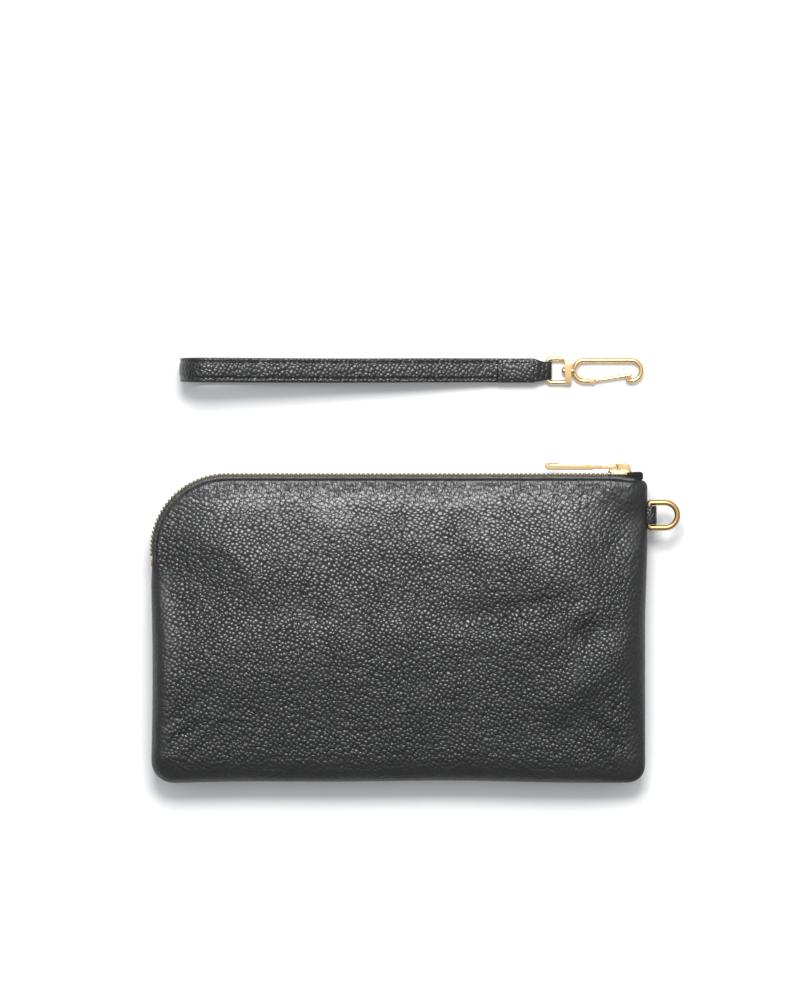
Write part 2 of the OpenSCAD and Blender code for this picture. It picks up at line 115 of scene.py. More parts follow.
def ripples(p, wave, seed):
    """A smooth random field over the plane, about -1 to 1, with bumps about half a wave apart."""
    rng = np.random.default_rng(seed)
    total = np.zeros(len(p))
    for _ in range(WAVES):
        turn, phase = rng.uniform(0, 2 * np.pi), rng.uniform(0, 2 * np.pi)
        size = wave * rng.uniform(0.7, 1.6)
        total += np.sin((p[:, 0] * np.cos(turn) + p[:, 1] * np.sin(turn)) * 2 * np.pi / size + phase)
    return total / math.sqrt(WAVES)


class Shape:
    """Collects closed parts of one piece, in millimetres."""

    def __init__(self):
        self.points, self.faces = [], []
        self.grain = None  # how deep the leather's pebbles are at each point, 1 if not stated

    def add(self, points, faces):
        base = sum(len(p) for p in self.points)
        self.points.append(np.asarray(points, float).reshape(-1, 3))
        self.faces += [tuple(base + i for i in f) for f in faces]
        return self

    def make(self, name, material, slot, replaces, sharp=38, ride=None):
        """Makes the piece. Edges sharper than sharp degrees stay sharp; ride is the body that carries it."""
        mesh = bpy.data.meshes.new(name)
        mesh.from_pydata((np.vstack(self.points) * MM).tolist(), [], self.faces)
        work = bmesh.new()
        work.from_mesh(mesh)
        bmesh.ops.recalc_face_normals(work, faces=work.faces)
        work.to_mesh(mesh)
        work.free()
        mesh.polygons.foreach_set("use_smooth", [True] * len(mesh.polygons))
        mesh.set_sharp_from_angle(angle=math.radians(sharp))
        mesh.materials.append(material)
        if slot == "leather":
            grain = self.grain if self.grain is not None else np.ones(len(mesh.vertices))
            mesh.attributes.new("grain", "FLOAT", "POINT").data.foreach_set("value", grain.astype(np.float32))
        piece = add_object(name, mesh)
        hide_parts(*replaces)
        if ride:
            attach(piece, ride)
        return piece


def tube_faces(n, m, closed=False):
    """Faces that join n rings of m points, with a cap at both ends unless they close on themselves."""
    faces = []
    for k in range(n if closed else n - 1):
        a, b = k * m, (k + 1) % n * m
        faces += [(a + i, a + (i + 1) % m, b + (i + 1) % m, b + i) for i in range(m)]
    if not closed:
        faces += [tuple(range(m - 1, -1, -1)), tuple((n - 1) * m + i for i in range(m))]
    return faces


def wire(path, r, up=(0, 0, 1), closed=False, sides=20):
    """A round bar along a path that lies in the plane across up. An open bar has rounded ends."""
    p = np.array(path, float)
    r = np.broadcast_to(np.asarray(r, float), (len(p),)).copy()
    t = tangents(p, closed)
    if not closed:
        ends = np.radians([84, 60, 35, 15])
        head = [p[0] - t[0] * r[0] * math.sin(a) for a in ends]
        tail = [p[-1] + t[-1] * r[-1] * math.sin(a) for a in ends[::-1]]
        r = np.concatenate([r[0] * np.cos(ends), r, r[-1] * np.cos(ends[::-1])])
        p = np.vstack([head, p, tail])
        t = np.vstack([[t[0]] * 4, t, [t[-1]] * 4])
    up = np.array(up, float)
    side = unit(np.cross(np.broadcast_to(up, t.shape), t))
    a = np.linspace(0, 2 * np.pi, sides, endpoint=False)
    ring = np.cos(a)[None, :, None] * side[:, None, :] + np.sin(a)[None, :, None] * up
    return (p[:, None, :] + ring * r[:, None, None]).reshape(-1, 3), tube_faces(len(p), sides, closed)


def inset_loop(loop, d):
    """Moves a closed anticlockwise loop inwards by d."""
    before, after = np.roll(loop, 1, 0), np.roll(loop, -1, 0)
    e1, e2 = unit(loop - before + 1e-9), unit(after - loop + 1e-9)
    n1, n2 = np.stack([-e1[:, 1], e1[:, 0]], 1), np.stack([-e2[:, 1], e2[:, 0]], 1)
    m = n1 + n2
    m = m / np.maximum((m * n1).sum(1, keepdims=True), 0.5)
    return loop + d * m


def plate(profile, width, bevel, place, middle=0.0):
    """A profile pushed through its width with rounded edges. width is half the width, or a function of the
    profile's points, and place puts (a, b, across) into the frame."""
    loop = np.array(profile, float)
    if (loop[:, 0] * np.roll(loop[:, 1], -1) - np.roll(loop[:, 0], -1) * loop[:, 1]).sum() < 0:
        loop = loop[::-1]
    half = width(loop) if callable(width) else np.full(len(loop), float(width))
    steps = np.radians([0, 25, 50, 90])
    layers = []
    for side in (-1, 1):
        for f in steps if side < 0 else steps[::-1]:
            q = inset_loop(loop, bevel * (1 - math.sin(f)))
            layers.append(np.column_stack([q, middle + side * (half - bevel * (1 - math.cos(f)))]))
    points = np.array([place(*p) for layer in layers for p in layer])
    return points, tube_faces(len(layers), len(loop))


# The surface of a 6 by 6 by 6 lattice, for rounded boxes
LATTICE = [(i, j, k) for i in range(6) for j in range(6) for k in range(6) if {i, j, k} & {0, 5}]
LATTICE_AT = {p: n for n, p in enumerate(LATTICE)}
LATTICE_FACES = []
for axis in range(3):
    for end in (0, 5):
        for u in range(5):
            for v in range(5):
                face = []
                for du, dv in ((0, 0), (1, 0), (1, 1), (0, 1)):
                    p = [u + du, v + dv]
                    p.insert(axis, end)
                    face.append(LATTICE_AT[tuple(p)])
                LATTICE_FACES.append(face if end else face[::-1])


def rounded_box(size, r, centre, turn=0.0):
    """A box whose edges are rounded to r, turned about Z by turn degrees."""
    half = np.array(size, float) / 2
    line = [np.array([-h, -h + 0.3 * r, -h + r, h - r, h - 0.3 * r, h]) for h in half]
    p = np.array([[line[0][i], line[1][j], line[2][k]] for i, j, k in LATTICE])
    core = np.clip(p, -half + r, half - r)
    p = core + r * unit(p - core)
    a = math.radians(turn)
    spin = np.array([[math.cos(a), -math.sin(a), 0], [math.sin(a), math.cos(a), 0], [0, 0, 1]])
    return p @ spin.T + np.array(centre, float), LATTICE_FACES


def lathe(profile, origin, sides=28):
    """A turned part about the X axis: profile gives (x, radius)."""
    a = np.linspace(0, 2 * np.pi, sides, endpoint=False)
    points = [(x, r * math.cos(t), r * math.sin(t)) for x, r in profile for t in a]
    return np.array(points) + np.array(origin, float), tube_faces(len(profile), sides)


# ------------------------------------ materials
class Tree:
    """A node tree that starts empty."""

    def __init__(self, tree):
        self.tree = tree
        tree.nodes.clear()

    def add(self, kind, inputs=None, **settings):
        node = self.tree.nodes.new(kind)
        for key, value in settings.items():
            setattr(node, key, value)
        for socket, value in (inputs or {}).items():
            if isinstance(value, bpy.types.NodeSocket):
                self.link(value, node.inputs[socket])
            else:
                node.inputs[socket].default_value = value
        return node

    def link(self, a, b):
        self.tree.links.new(a, b)

    def math(self, operation, a, b=0.0, clamp=False):
        return self.add("ShaderNodeMath", {0: a, 1: b}, operation=operation, use_clamp=clamp).outputs[0]

    def range(self, value, lo, hi, out_lo=0.0, out_hi=1.0, **settings):
        inputs = {"Value": value, "From Min": lo, "From Max": hi, "To Min": out_lo, "To Max": out_hi}
        return self.add("ShaderNodeMapRange", inputs, **settings).outputs["Result"]


class Paint(Tree):
    """A material with a principled shader."""

    def __init__(self, name, **constants):
        self.material = bpy.data.materials.new(name)
        self.material.use_nodes = True
        super().__init__(self.material.node_tree)
        self.shader = self.add("ShaderNodeBsdfPrincipled")
        out = self.add("ShaderNodeOutputMaterial")
        self.link(self.shader.outputs["BSDF"], out.inputs["Surface"])
        for socket, value in constants.items():
            self.shader.inputs[socket.replace("_", " ")].default_value = value
        self.where = self.add("ShaderNodeTexCoord").outputs["Object"]

    def vector(self, operation, a, b):
        return self.add("ShaderNodeVectorMath", {0: a, 1: b}, operation=operation).outputs[0]

    def noise(self, scale, detail=3.0, where=None):
        inputs = {"Vector": where or self.where, "Scale": scale, "Detail": detail}
        return self.add("ShaderNodeTexNoise", inputs).outputs["Fac"]

    def blend(self, fac, a, b):
        return self.add("ShaderNodeMix", {0: fac, 6: (*a, 1), 7: (*b, 1)}, data_type="RGBA").outputs[2]

    def stretch(self, scale):
        return self.add("ShaderNodeMapping", {"Vector": self.where, "Scale": scale}).outputs["Vector"]

    def bump(self, height, depth, under=None):
        node = self.add("ShaderNodeBump", {"Height": height, "Strength": 1.0, "Distance": depth * MM})
        if under:
            self.link(under, node.inputs["Normal"])
        return node.outputs["Normal"]

    def wear(self, socket, value):
        self.link(value, self.shader.inputs[socket])


STREAK_BAND = (17, 6)  # millimetres below the zip over which the pebbles turn into fine lines
CALM_BAND = (50, 14)  # and over which they lie flatter
ROW_SLANT = math.radians(32)  # the pebbles lie in loose rows that climb across the hide
ROW_AXIS = (0.25, 0.1, 1.0)
LEATHER_DARK, LEATHER_LIGHT = (0.004, 0.004, 0.0045), (0.0085, 0.0087, 0.0097)


def leather_paint(name, cell, depth, stretched=False):
    """Pebbled leather: rows of domes, cell millimetres apart, parted by fine creases over slower swells in
    the hide. Stretched leather has its grain drawn out towards the zip, and flatter below it."""
    p = Paint(name, Specular_IOR_Level=0.64, Coat_Weight=0.0, Sheen_Weight=0.0)
    size = cell * MM
    where = p.where
    if stretched:
        height_up = p.add("ShaderNodeSeparateXYZ", {0: where}).outputs["Y"]

        def below_zip(band, far=0.0, near=1.0):
            return p.range(height_up, (TOP_Y - band[0]) * MM, (TOP_Y - band[1]) * MM, far, near)

        near_zip = below_zip(STREAK_BAND)
        streaks = p.noise(1.25 / size, 2.0, p.vector("MULTIPLY", where, (1.0, 0.24, 1.0)))
        where = p.vector("MULTIPLY", where, (1.0, 1.12, 1.0))
    drift = p.add("ShaderNodeTexNoise", {"Vector": where, "Scale": 0.16 / size, "Detail": 2.0})
    shift = p.vector("SUBTRACT", drift.outputs["Color"], (0.5, 0.5, 0.5))
    where = p.vector("ADD", where, p.vector("MULTIPLY", shift, (1.5 * size,) * 3))
    rows = p.add("ShaderNodeVectorRotate", {"Vector": where, "Axis": ROW_AXIS, "Angle": ROW_SLANT}).outputs[0]
    pebbles = {"Vector": rows, "Scale": 1 / size, "Randomness": 0.6}
    cells = p.add("ShaderNodeTexVoronoi", pebbles, feature="F1")
    edges = p.add("ShaderNodeTexVoronoi", pebbles, feature="DISTANCE_TO_EDGE")
    crease = p.range(edges.outputs["Distance"], 0.0, 0.14)
    dome = p.math("MULTIPLY", p.math("POWER", cells.outputs["Distance"], 2.0), -1.0)
    fine = p.noise(1.9 / size, 2.0, where)
    slow = p.noise(0.13 / size, 2.0)
    uneven = p.range(slow, 0.3, 0.7, 0.75, 1.25)
    height = p.math("ADD", p.math("MULTIPLY", dome, uneven), p.math("MULTIPLY", crease, 0.09))
    height = p.math("ADD", height, p.math("MULTIPLY", fine, 0.16))
    if stretched:
        far = p.math("SUBTRACT", 1.0, p.math("MULTIPLY", near_zip, 0.6))
        lines = p.math("MULTIPLY", streaks, p.math("MULTIPLY", near_zip, 1.25))
        calm = below_zip(CALM_BAND, 1.0, 0.52)
        height = p.math("ADD", p.math("MULTIPLY", height, p.math("MULTIPLY", far, calm)), lines)
    grain = p.add("ShaderNodeAttribute", attribute_name="grain").outputs["Fac"]
    height = p.math("MULTIPLY", height, grain)
    normal = p.bump(slow, 1.6 * depth)
    p.wear("Normal", p.bump(height, depth, normal))
    # Painted shade: the creases between the pebbles are painted darker than the pebble tops, varied at random
    # by the fine noise.
    tone = p.math("MULTIPLY", crease, p.range(fine, 0.3, 0.7, 0.5, 1.0), clamp=True)
    p.wear("Base Color", p.blend(tone, LEATHER_DARK, LEATHER_LIGHT))
    gloss = p.range(p.math("ADD", crease, fine), 0.3, 1.7, 0.38, 0.27)
    rolled = p.range(grain, 0.2, 1.0, 0.26, 0.0)  # the smoother leather on a rolled edge is duller
    p.wear("Roughness", p.math("ADD", gloss, rolled))
    return p.material


def gold_paint(name, low, high, colour):
    """Plated metal with faint brushing and handling marks, whose roughness runs from low to high."""
    p = Paint(name, Metallic=1.0, Specular_IOR_Level=0.5)
    marks = p.noise(900, 4.0, p.stretch((0.25, 1.0, 1.0)))
    cloud = p.noise(160, 2.0)
    p.wear("Roughness", p.range(p.math("ADD", marks, cloud), 0.6, 1.4, low, high))
    warm = tuple(c * k for c, k in zip(colour, (0.93, 0.88, 0.78)))
    p.wear("Base Color", p.blend(cloud, warm, colour))
    p.wear("Normal", p.bump(marks, 0.006))
    return p.material


def tooth_paint():
    """Antique brass, with a painted highlight brightening the crowns and painted shade darkening the hollows,
    over random grime.
    """
    p = Paint("antique_brass", Metallic=1.0)
    grime = p.noise(700, 4.0)
    convexity = p.add("ShaderNodeNewGeometry").outputs["Pointiness"]
    # Painted light: the most convex parts of the teeth are painted brighter as a highlight, and concave parts
    # darker as shade.
    crown = p.range(convexity, 0.49, 0.56)
    tone = p.math("ADD", p.math("MULTIPLY", crown, 0.7), p.math("MULTIPLY", grime, 0.5), clamp=True)
    p.wear("Base Color", p.blend(tone, (0.020, 0.017, 0.010), (0.15, 0.125, 0.07)))
    p.wear("Roughness", p.range(grime, 0.3, 0.7, 0.34, 0.5))
    p.wear("Normal", p.bump(grime, 0.02))
    return p.material


def woven_paint(name, pitch, depth, dark, light, slant=0.0):
    """Woven cloth: two sets of threads crossing, pitch millimetres apart, with a little fuzz."""
    p = Paint(name, Specular_IOR_Level=0.25, Sheen_Weight=0.15, Sheen_Roughness=0.5)
    turned = p.add("ShaderNodeMapping", {"Vector": p.where, "Rotation": (0.3, 0.2, slant)}).outputs["Vector"]
    wave = {"Vector": turned, "Scale": 0.314 / (pitch * MM), "Distortion": 0.6, "Detail": 1.0}
    threads = [p.add("ShaderNodeTexWave", wave, bands_direction=way).outputs["Fac"] for way in ("X", "Y")]
    weave = p.math("MAXIMUM", *threads)
    fuzz = p.noise(2.5 / (pitch * MM), 3.0)
    p.wear("Base Color", p.blend(p.math("MULTIPLY", weave, fuzz), dark, light))
    p.wear("Roughness", p.range(fuzz, 0.2, 0.8, 0.78, 0.95))
    p.wear("Normal", p.bump(p.math("ADD", weave, p.math("MULTIPLY", fuzz, 0.4)), depth))
    return p.material


def thread_paint():
    """Waxed thread, with the twist of its strands."""
    p = Paint("waxed_thread", Specular_IOR_Level=0.4)
    twist = p.add("ShaderNodeTexWave", {"Vector": p.where, "Scale": 700.0, "Distortion": 1.0, "Detail": 1.0},
                  bands_direction="DIAGONAL").outputs["Fac"]
    p.wear("Base Color", p.blend(twist, (0.006, 0.006, 0.007), (0.017, 0.017, 0.019)))
    p.wear("Roughness", p.range(twist, 0.0, 1.0, 0.7, 0.5))
    p.wear("Normal", p.bump(twist, 0.05))
    return p.material


def floor_paint():
    """A matt white table, a little uneven."""
    p = Paint("white_table", Specular_IOR_Level=0.2)
    speck = p.noise(40, 3.0)
    p.wear("Base Color", p.blend(speck, (0.88, 0.88, 0.88), (0.90, 0.90, 0.90)))
    p.wear("Roughness", p.range(speck, 0.3, 0.7, 0.75, 0.85))
    return p.material


# ------------------------------------ the bag's form
HALF_W, TOP_Y, BOTTOM_Y = 120.5, 73.8, -75.6  # the leather's edges
LIP = 1.6  # how far the teeth stand out past the leather
ZIP_Y = TOP_Y + LIP
CORNER_R = 37.0
CORNER = np.array([-HALF_W + CORNER_R - 0.3, ZIP_Y - CORNER_R])  # middle of the bend in the zip
ZIP_FOOT = 4.6  # the straight length of zip below its bend
ZIP_RIGHT = 112.0
ZIP_Z = 15.0
SEAM_Z = 16.0  # height of the side and bottom seams
FRONT_LIP_Z, BACK_LIP_Z = 22.0, 8.0  # heights of the outer faces at the zip
BAG_D = 33.5
LOWER_FALL = 7.0  # how far the empty bag settles from its middle towards the bottom seam
END_FALL = 5.5  # and towards its right end
FRONT_RISE = 36.0  # how far from the zip the front has made about two thirds of its climb
ZIP_BEND = 24.0  # how far from the zip the back takes to reach the table
LEATHER_T = 1.3
PLY = 0.15  # the gap between plies
TAPE_T = 0.5
LINING_T = 0.4
STITCH_IN = 1.8  # from the turned edge to the row of stitches
STITCH_PITCH = 2.65
EDGE_OUT = 0.5  # the turned edge lies this far over the tape

BAG_LEATHER = leather_paint("bag_leather", cell=2.1, depth=0.66, stretched=True)
STRAP_LEATHER = leather_paint("strap_leather", cell=1.9, depth=0.42)
GOLD = gold_paint("pale_gold", 0.10, 0.22, (0.84, 0.62, 0.33))
SATIN_GOLD = gold_paint("satin_gold", 0.24, 0.36, (0.50, 0.33, 0.14))
TEETH = tooth_paint()
TAPE = woven_paint("zip_tape_weave", 0.45, 0.05, (0.006, 0.006, 0.007), (0.02, 0.02, 0.022))
LINING = woven_paint("lining_twill", 0.5, 0.04, (0.02, 0.019, 0.021), (0.05, 0.047, 0.051), slant=0.78)
THREAD = thread_paint()


def build_outline():
    """The leather's edge, seen from above: three small corners and the wide bend that the zip follows."""
    tr = np.array([HALF_W - 2.6, TOP_Y - 1.5 - 2.6])
    bl = np.array([-HALF_W + 11, BOTTOM_Y + 11])
    br = np.array([HALF_W - 8, BOTTOM_Y + 8])
    foot = CORNER[1] - ZIP_FOOT
    loop = np.vstack([
        arc(tr, 2.6, 0, 90, 8), [[ZIP_RIGHT - 6, TOP_Y]], arc(CORNER, CORNER_R - LIP, 90, 180, 50),
        [[CORNER[0] - CORNER_R + LIP, foot], [-HALF_W + 0.4, foot - 6], [-HALF_W, foot - 12]],
        arc(bl, 11, 180, 270, 16), arc(br, 8, 270, 360, 14),
    ])
    loop = resample(loop, 1.3, closed=True)
    for _ in range(2):
        loop = 0.25 * np.roll(loop, 1, 0) + 0.5 * loop + 0.25 * np.roll(loop, -1, 0)
    # The seams pull in a little between the corners
    x, y = loop[:, 0], loop[:, 1]
    bottom_pull = 0.9 * np.cos(np.clip(x / 105, -1, 1) * math.pi / 2) + 0.25 * np.sin(x / 17)
    y = y + ramp(-y, 60, 72) * bottom_pull
    left_pull = 0.7 * np.cos(np.clip((y + 22) / 46, -1, 1) * math.pi / 2)
    x = x + ramp(-x, 112, 119) * ramp(-y, -30, -10) * left_pull
    x = x + ramp(x, 112, 119) * (1.1 * ramp(y, 0, 45) + 0.2)
    return np.stack([x, y], 1)


OUTLINE = build_outline()


def zip_share(p):
    """1 along the zip and 0 along the sewn edges, with a short change between them."""
    above_foot = ramp(p[:, 1], CORNER[1] - ZIP_FOOT - 8, CORNER[1] - ZIP_FOOT)
    return above_foot * ramp(-p[:, 0], -ZIP_RIGHT - 7.5, -ZIP_RIGHT - 3.5)


def from_zip(p):
    """Distance from the edge that the zip follows: a straight run, a bend and a short foot."""
    x, y = p[:, 0], p[:, 1]
    straight = np.hypot(np.maximum(0, CORNER[0] - x), TOP_Y - y)
    v = p - CORNER
    bend = np.where((v[:, 0] < 0) & (v[:, 1] > 0), np.abs(CORNER_R - LIP - np.hypot(v[:, 0], v[:, 1])), 1e3)
    low = CORNER[1] - ZIP_FOOT
    foot = np.hypot(x - CORNER[0] + CORNER_R - LIP, np.maximum(0, np.maximum(low - y, y - CORNER[1])))
    return np.minimum(np.minimum(straight, bend), foot)


def crease(p, a, b, up, down, height):
    """A ridge, or a valley where height is below 0, along a line from a to b. up and down are the widths of
    its two flanks."""
    a, b = np.array(a, float), np.array(b, float)
    length = np.linalg.norm(b - a)
    t = ((p - a) @ (b - a)) / length ** 2
    side = (p - a) @ np.array([-(b - a)[1], (b - a)[0]]) / length
    w = np.where(side > 0, up, down)
    return height * np.exp(-((side / w) ** 2)) * ramp(t, -0.2, 0.2) * (1 - ramp(t, 0.8, 1.2))


def dent(p, c, rx, ry, height, turn=0.0):
    """An oval swell, or a hollow where height is below 0, about c."""
    a = math.radians(turn)
    v = p - np.array(c, float)
    u = v[:, 0] * math.cos(a) + v[:, 1] * math.sin(a)
    w = -v[:, 0] * math.sin(a) + v[:, 1] * math.cos(a)
    return height * np.exp(-((u / rx) ** 2) - (w / ry) ** 2)


def front_relief(p):
    """Folds and slack of the front leather, added to its smooth crown."""
    h = 0.36 * ripples(p, 62, 3) + 0.08 * ripples(p, 23, 8) + 0.012 * ripples(p, 9, 5)
    h += crease(p, (-98, 7), (52, 8), 15, 9, -0.9)
    h += crease(p, (34, 3), (88, 13.5), 8, 4.5, -2.3)
    h += crease(p, (40, -6), (84, 2), 6, 9, 0.9)
    h += dent(p, (94, -2), 9, 8, -3.0, 20)
    h += crease(p, (112, -12), (72, -42), 7, 10, 1.5)
    h += crease(p, (24, 64), (20, 40), 6, 7, -1.1)
    h += dent(p, (-20, 55), 52, 10, 1.1, -2)
    h += dent(p, (52, 42), 34, 17, 1.3, -15)
    h += dent(p, (-12, 28), 60, 13, -1.1, 0)
    h += dent(p, (-60, -18), 40, 16, 0.9, 8)
    h += dent(p, (18, -38), 60, 12, 0.5, 3)
    for k, (x, y) in enumerate([(-118, -62), (-112, -70), (-120, -52)]):
        h += crease(p, (x, y), (x + 22 + 4 * k, y + 17 + 3 * k), 2.6, 3.4, (-0.8, -0.5, -0.5)[k])
    for k, (x, y) in enumerate([(118, -64), (112, -71), (119, -54), (103, -73)]):
        h += crease(p, (x, y), (x - 24 + 3 * k, y + 20), 2.8, 3.6, (-0.9, 0.6, -0.5, -0.4)[k])
    h += crease(p, (-119, 18), (-98, 8), 4, 5, -0.7)
    h += crease(p, (119, 44), (96, 36), 5, 5, -0.8)
    return h


def front_crown(q):
    """Height of the front's smooth face, before its folds."""
    crown = FRONT_LIP_Z + (BAG_D - FRONT_LIP_Z) * (1 - np.exp(-((from_zip(q) / FRONT_RISE) ** 1.6)))
    return crown - LOWER_FALL * ramp(-q[:, 1], 0, 78)


def back_crown(q):
    """Height of the back's face: on the table, and bent up to the zip."""
    return BACK_LIP_Z * np.maximum(0, 1 - from_zip(q) / ZIP_BEND) ** 2


def edge_bead(s):
    """Height of the turned edge beside the zip, at distances s from it: a round bead, then the groove of the
    stitches."""
    rounding = 0.35 * (1 - np.sqrt(np.clip(1 - np.clip(1 - s / 0.4, 0, 1) ** 2, 0, 1)))
    slope = 0.24 * np.clip(1.6 - s, 0, None)
    groove = 0.4 * np.exp(-(((s - STITCH_IN) / 0.28) ** 2))
    swell = 0.05 * np.exp(-(((s - 3.8) / 1.4) ** 2))
    return -rounding - slope - groove + swell


FRONT_ROLL, BACK_ROLL = (8.5, 13, 21, 7), (12, 12, 15, 8)  # at the left, right, bottom and top edges


def roll_width(p, front):
    """How far in from the sewn edge the leather takes to curve from the seam to its face."""
    heading = tangents(p, True)
    out = np.stack([heading[:, 1], -heading[:, 0]], 1)
    facing = [np.clip(v, 0, 1) ** 2 for v in (-out[:, 0], out[:, 0], -out[:, 1], out[:, 1])]
    return sum(share * width for share, width in zip(facing, FRONT_ROLL if front else BACK_ROLL))


def ring_list(fine):
    """Distances of the rings of points from the edge, closest where the bead and its groove lie."""
    near = [0, 0.1, 0.22, 0.4, 0.8, 1.3, 1.55, 1.75, 1.95, 2.15, 2.35, 2.6, 3.1, 3.8, 4.6, 5.4]
    if not fine:
        near = [0, 0.75, 2, 4]
    return np.concatenate([near, np.arange(near[-1] + 1.4, 43, 1.4 if fine else 2.8)])


def skin(outline, rings, inner_rings, front, depth=0.0, zip_inset=0.0):
    """Points of one skin of the bag, that lies depth under the outer leather, as rings and a middle point."""
    share = zip_share(outline)
    width = roll_width(OUTLINE, front)[:: len(OUTLINE) // len(outline)][: len(outline)]
    stack = []
    for k in range(len(rings) + inner_rings):
        s = rings[min(k, len(rings) - 1)]
        a = np.clip(s / width, 0, 1)
        sine = (1 - (1 - a) ** 2.5) ** (1 / 2.5)
        if k < len(rings):
            shift = depth * (1 - a) * (1 - share) + zip_inset * share * (1 - s / rings[-1])
            shift = shift - EDGE_OUT * share * max(0, 1 - s / 8) * (zip_inset == 0)
            u = 1.0
        else:
            u = 1 - (k - len(rings) + 1) / (inner_rings + 1)
        inset = (s + shift)[:, None] * np.array([1 / HALF_W, 1 / TOP_Y])
        q = outline * (1 - inset) * u
        if front:
            crown = front_crown(q) - END_FALL * ramp(q[:, 0], 82, 121) ** 1.2 * ramp(-q[:, 1], -70, -50)
            calm = mix(ramp(np.full(len(q), s), 2, 15), ramp(np.full(len(q), s), 5, 22), share)
            crown = crown + front_relief(q) * calm
            edge = SEAM_Z + PLY / 2
        else:
            crown = back_crown(q)
            edge = SEAM_Z - PLY / 2
        bead = edge_bead(np.full(len(q), float(s))) if depth == 0 else 0.0
        along_zip = crown + (bead if front else -bead)
        z = mix(edge + (crown - edge) * sine, along_zip, share)
        down = depth * mix(sine, 1, share)
        stack.append(np.column_stack([q, z - down if front else z + down]))
    middle = stack[-1].mean(0)
    return np.vstack(stack + [middle[None]]), len(stack), len(outline)


def shell(front, depth, thick, coarse=1, zip_inset=0.0):
    """A ply of the bag: two skins joined round the edge, with every coarse-th point of the outline."""
    outline = OUTLINE[: len(OUTLINE) // coarse * coarse: coarse]
    rings = ring_list(coarse == 1)
    inner_rings = 20 // coarse
    outer, k, n = skin(outline, rings, inner_rings, front, depth, zip_inset)
    inner, _, _ = skin(outline, rings, inner_rings, front, depth + thick, zip_inset)
    faces = []
    for base, flip in ((0, False), (len(outer), True)):
        part = [(r * n + i, r * n + (i + 1) % n, (r + 1) * n + (i + 1) % n, (r + 1) * n + i)
                for r in range(k - 1) for i in range(n)]
        part += [((k - 1) * n + i, (k - 1) * n + (i + 1) % n, k * n) for i in range(n)]
        faces += [tuple(base + j for j in (f[::-1] if flip else f)) for f in part]
    faces += [(len(outer) + i, len(outer) + (i + 1) % n, (i + 1) % n, i) for i in range(n)]
    made = Shape().add(np.vstack([outer, inner]), faces)
    near = np.concatenate([np.full(n, s) for s in list(rings) + [rings[-1]] * inner_rings] + [[rings[-1]]])
    share = np.append(np.tile(zip_share(outline), k), 0)
    rolled, bead = mix(0.3, 1, ramp(near, 1, 14)), mix(0.55, 1, ramp(near, 1.8, 3.4))
    made.grain = np.tile(mix(rolled, bead, share), 2)
    return made


def follow_mouth(piece):
    """Bakes the piece's placement into its mesh; it does not bend the piece."""
    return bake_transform(piece)


follow_mouth(shell(True, 0, LEATHER_T).make("front_leather", BAG_LEATHER, "leather",
                                            ["front_panel", "mouth_flap"], sharp=60))
shell(False, 0, LEATHER_T).make("back_leather", BAG_LEATHER, "leather", ["back_panel"], sharp=60, ride="bag")
LINING_DEPTH = LEATHER_T + 2 * PLY + TAPE_T
LINING_INSET = 4.0  # the lining ends this far short of the zip
follow_mouth(shell(True, LINING_DEPTH, LINING_T, 2, LINING_INSET).make(
    "front_lining_cloth", LINING, "lining", ["front_lining", "flap_lining"]))
shell(False, LINING_DEPTH, LINING_T, 2, LINING_INSET).make(
    "back_lining_cloth", LINING, "lining", ["back_lining"], ride="bag")

# ------------------------------------ zip
RUN = ZIP_RIGHT - CORNER[0]
BEND = CORNER_R * math.pi / 2
ZIP_LENGTH = RUN + BEND + ZIP_FOOT


def zip_at(s, inset):
    """Place and heading, in degrees, at distance s along the zip from its right end."""
    r = CORNER_R - inset
    if s <= RUN:
        return ZIP_RIGHT - s, ZIP_Y - inset, 180.0
    if s <= RUN + BEND:
        a = (s - RUN) / CORNER_R
        return CORNER[0] - r * math.sin(a), CORNER[1] + r * math.cos(a), 180 + math.degrees(a)
    return CORNER[0] - r, CORNER[1] - (s - RUN - BEND), 270.0


TAPE_IN = LIP - 0.35
HEM = 9.0  # how far the tape reaches under the leather


def tape(front):
    """The tape of one side: it rises from its sewn hem under the leather to the roots of the teeth."""
    stations = np.concatenate([np.linspace(0, RUN, 60), RUN + np.linspace(0, BEND, 26)[1:], [ZIP_LENGTH]])
    turn = 1 if front else -1
    root_z = ZIP_Z + turn * 1.4
    rows = []
    for s in stations:
        hem = HEM * (0.5 if s < HEM else 1)
        steps = [TAPE_IN + hem * k / 4 for k in range(1, 5)]

        def under(inset, drop):
            x, y, _ = zip_at(s, inset)
            crown = front_crown if front else back_crown
            return float(crown(np.array([[x, y]]))[0]) - turn * (LEATHER_T + PLY + drop)

        swell = 0.12 * math.sin(s / 5.3) + 0.08 * math.sin(s / 2.1)
        middle = (under(TAPE_IN, 0) + root_z) / 2
        section = [(TAPE_IN, root_z), (TAPE_IN - 0.1 - swell, middle)]
        section += [(TAPE_IN, under(TAPE_IN, 0)), (LIP, under(LIP, 0))]
        section += [(e, under(e, 0)) for e in steps]
        section += [(e, under(e, TAPE_T)) for e in steps[::-1]]
        inner = TAPE_IN + TAPE_T
        section += [(inner, under(inner, TAPE_T)), (inner - 0.1 - swell, middle), (inner, root_z)]
        rows.append([(*zip_at(s, inset)[:2], z) for inset, z in section])
    rows = np.array(rows)
    return Shape().add(rows.reshape(-1, 3), tube_faces(rows.shape[0], rows.shape[1]))


TOOTH_PITCH, TOOTH_W, TOOTH_L, TOOTH_T = 2.2, 1.25, 2.9, 3.0
FIRST_TOOTH = 1.2
TOOTH_OUT = 0.2
ROW_GAP = 1.0
TOOTH_COUNT = int((ZIP_LENGTH - FIRST_TOOTH - TOOTH_W / 2) // TOOTH_PITCH)


